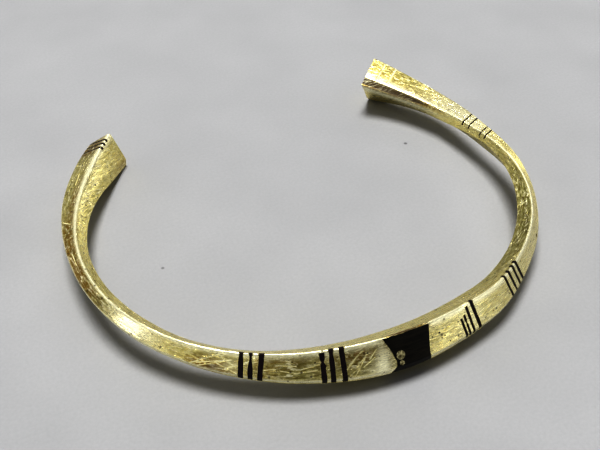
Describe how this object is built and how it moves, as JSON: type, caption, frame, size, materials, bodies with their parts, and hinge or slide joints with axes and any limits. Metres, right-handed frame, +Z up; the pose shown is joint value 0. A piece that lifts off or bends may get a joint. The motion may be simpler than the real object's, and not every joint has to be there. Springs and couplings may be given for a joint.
{
  "type": "open cuff bangle bracelet",
  "caption": "Open brass cuff bangle: a tapered, twisted square bar with a pinned black inlay at the front and black-filled cut lines.",
  "frame": {"origin": "middle of the bounding box's base, on the surface the bangle lies on", "axes": "+Z up, square to the plane of the ring; the inlay faces -Y and the opening faces +Y; +X to the right seen from the front"},
  "size_m": [0.0654, 0.0574, 0.0068],
  "materials": {
    "brass": "hand-filed and worn, half polished",
    "pin_brass": "filed flush, dull",
    "ebony": "black, smooth, satin",
    "filler": "black hard filler, matt"
  },
  "bodies": {
    "root": {"cuff_body": "brass", "inlay_block": "ebony", "pin_upper": "pin_brass", "pin_lower": "pin_brass", "line_a1": "filler", "line_a2": "filler", "line_a3": "filler", "line_b1": "filler", "line_b2": "filler", "line_b3": "filler", "line_c1": "filler", "line_c2": "filler", "line_c3": "filler", "line_c4": "filler", "line_d1": "filler", "line_d2": "filler", "line_d3": "filler", "line_d4": "filler", "line_e1": "filler", "line_e2": "filler", "line_e3": "filler", "line_e4": "filler", "line_f1": "filler", "line_f2": "filler", "line_f3": "filler"}
  },
  "joints": []
}
